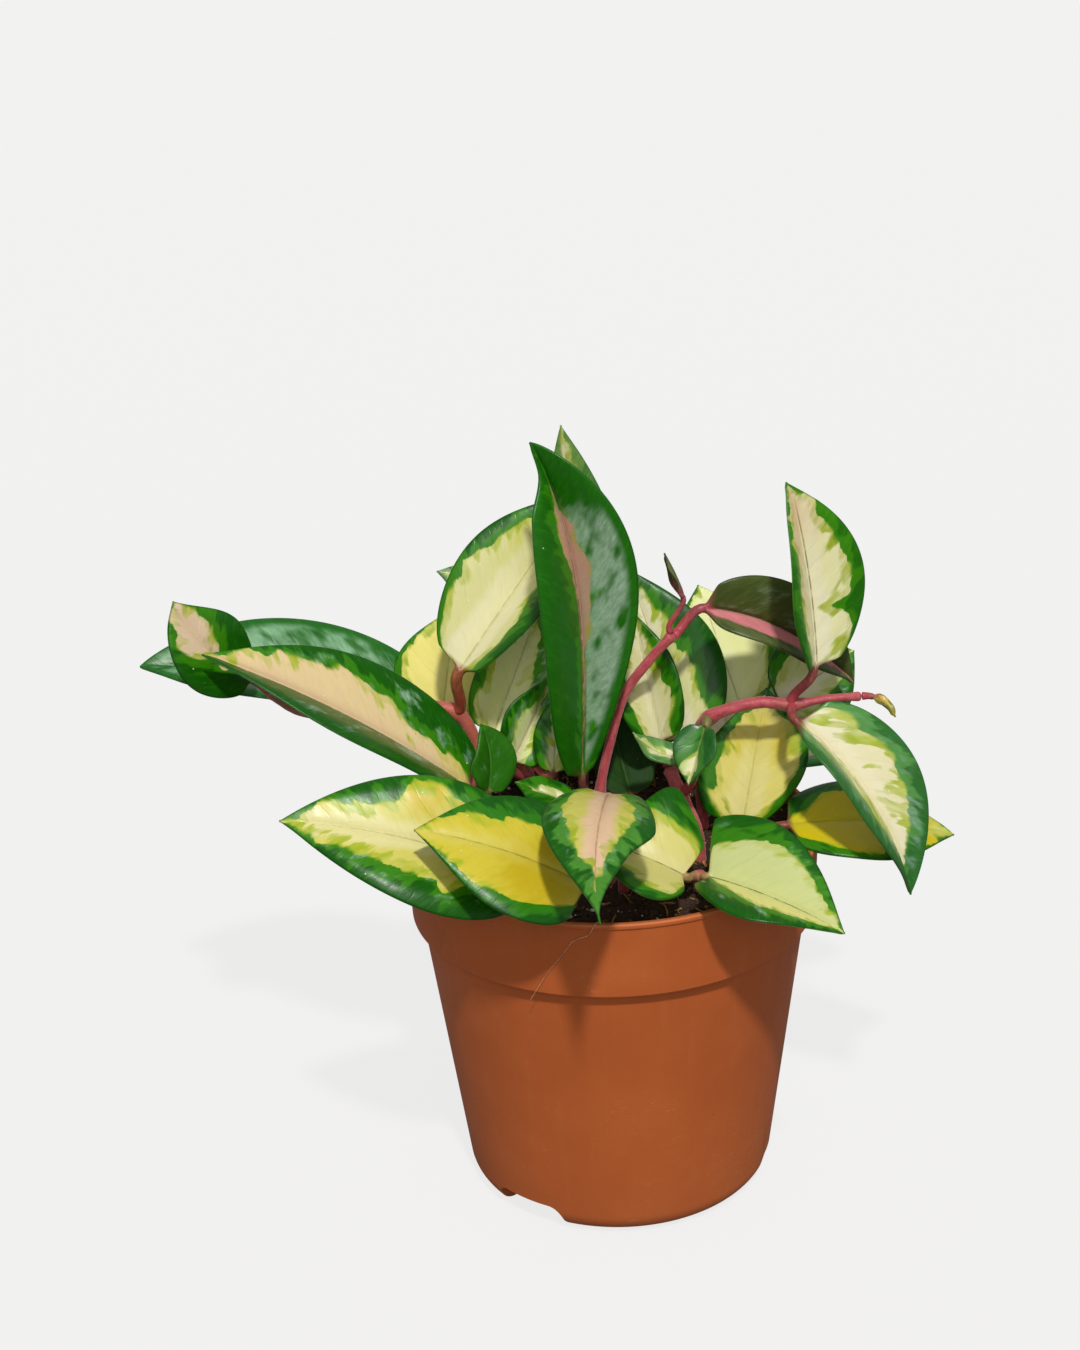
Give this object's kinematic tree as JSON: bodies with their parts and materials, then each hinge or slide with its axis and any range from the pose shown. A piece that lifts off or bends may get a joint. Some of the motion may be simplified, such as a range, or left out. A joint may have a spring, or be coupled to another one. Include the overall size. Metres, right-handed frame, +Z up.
{
  "type": "potted variegated hoya plant",
  "caption": "Wax plant with cream and green variegated leaves on crimson stems, rooted in soil in a round terracotta-coloured nursery pot with a stepped collar and drainage channels.",
  "frame": {"origin": "centre of the pot's underside, on the surface it stands on", "axes": "+Z up; the viewer of the picture stands on the -Y side, so +X is to the right"},
  "size_m": [0.2363, 0.2125, 0.2283],
  "materials": {
    "pot": "smooth injection-moulded plastic, satin",
    "soil": "damp dark peat with pale flecks",
    "stem": "fleshy crimson stem, finely downy",
    "leaf_cream": "waxy leaf, cream to yellow centre with a ragged green margin",
    "leaf_green": "waxy dark green leaf with a silvery gloss",
    "leaf_dark": "waxy olive leaf with a pink underside edge"
  },
  "bodies": {
    "root": {"pot": "pot", "soil": "soil", "stem_left_vine": "stem", "stem_upper_arch": "stem", "stem_right_arch": "stem", "stem_centre": "stem", "stem_front_right": "stem", "stem_front": "stem", "stem_front_left": "stem", "stem_middle_left": "stem", "stem_right": "stem", "stem_back_right": "stem", "stem_back_left": "stem", "leaf_left_silver": "leaf_green", "leaf_left_boat": "leaf_cream", "leaf_left_curled": "leaf_cream", "leaf_cream_oval": "leaf_cream", "leaf_cream_behind": "leaf_cream", "leaf_tall": "leaf_green", "leaf_front_heart": "leaf_cream", "leaf_olive_arch": "leaf_dark", "leaf_young_spear": "leaf_dark", "leaf_right_upright": "leaf_cream", "leaf_right_hanging": "leaf_cream", "leaf_growing_tip": "leaf_cream", "leaf_front_left": "leaf_cream", "leaf_front_yellow": "leaf_cream", "leaf_front_pair_left": "leaf_cream", "leaf_front_pair_right": "leaf_cream", "leaf_right_oval": "leaf_cream", "leaf_right_yellow": "leaf_cream", "leaf_centre_broad": "leaf_cream", "leaf_centre_narrow": "leaf_cream", "leaf_saddle": "leaf_cream", "leaf_lobe": "leaf_cream", "leaf_middle_cream": "leaf_cream", "leaf_middle_folded": "leaf_green", "leaf_middle_small": "leaf_cream", "leaf_middle_flat": "leaf_cream", "leaf_left_small": "leaf_green", "leaf_centre_low": "leaf_green", "leaf_back_tip": "leaf_cream", "leaf_back_thin": "leaf_cream", "leaf_back_centre": "leaf_cream", "leaf_back_right": "leaf_cream", "leaf_back_low_left": "leaf_cream", "leaf_back_low_centre": "leaf_cream", "leaf_back_side": "leaf_cream", "leaf_back_low_right": "leaf_cream", "leaf_back_outer": "leaf_cream"}
  },
  "joints": []
}
